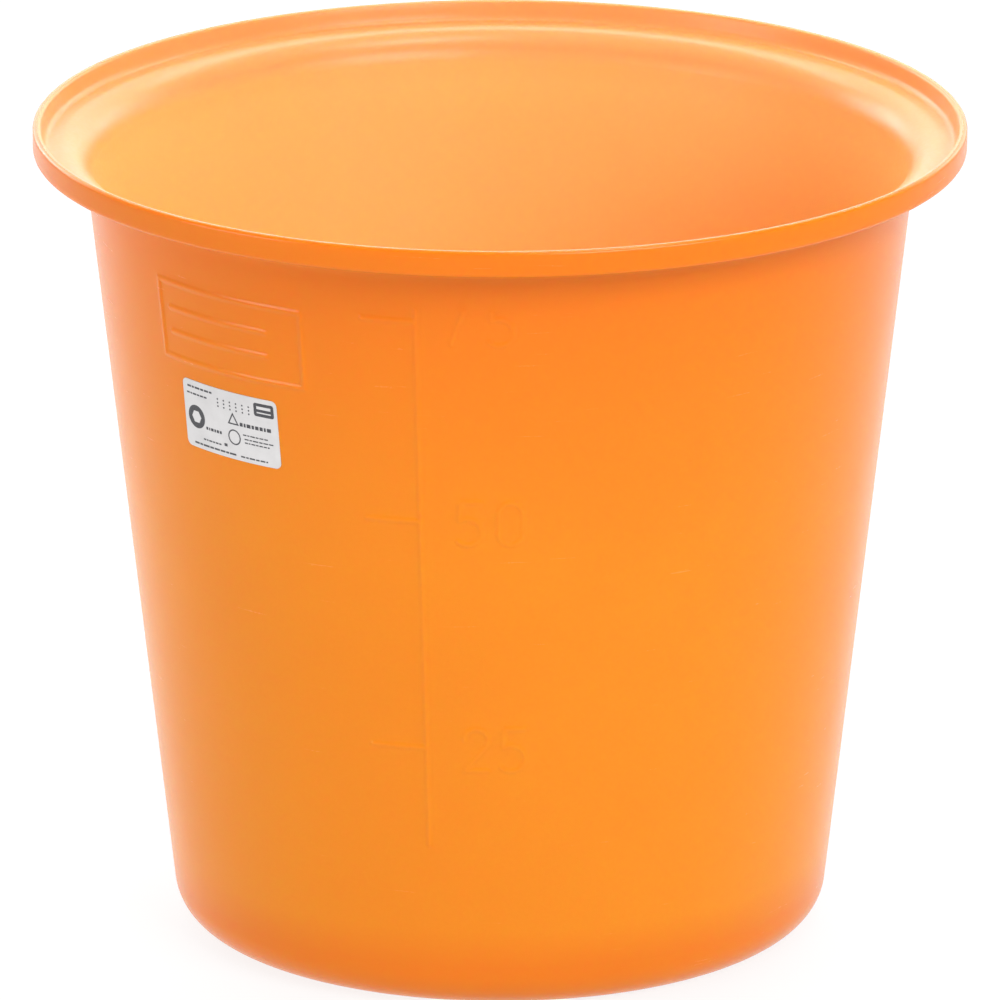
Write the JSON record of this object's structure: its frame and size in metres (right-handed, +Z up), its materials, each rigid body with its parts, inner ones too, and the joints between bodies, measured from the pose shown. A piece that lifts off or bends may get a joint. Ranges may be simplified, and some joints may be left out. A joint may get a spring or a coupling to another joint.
{
  "type": "mortar mixing tub",
  "caption": "Deep round tapered tub with a flared rim and upturned lip, a moulded volume scale and a small label, for mixing and carrying mortar or plaster.",
  "frame": {"origin": "centre of the base, on the floor plane", "axes": "+Z up along the tub's axis, -Y towards the side with the moulded scale, +X to the right of a person facing that side"},
  "size_m": [0.59, 0.5898, 0.523],
  "materials": {
    "orange_polyethylene": "slightly translucent, satin, moulded",
    "label_white": "silver-white label film, satin",
    "adhesive_clear": "pressure-sensitive adhesive",
    "print_ink": "printed ink"
  },
  "bodies": {
    "root": {"tub_shell": "orange_polyethylene", "label_adhesive": "adhesive_clear", "label_film": "label_white", "label_print": "print_ink"}
  },
  "joints": []
}
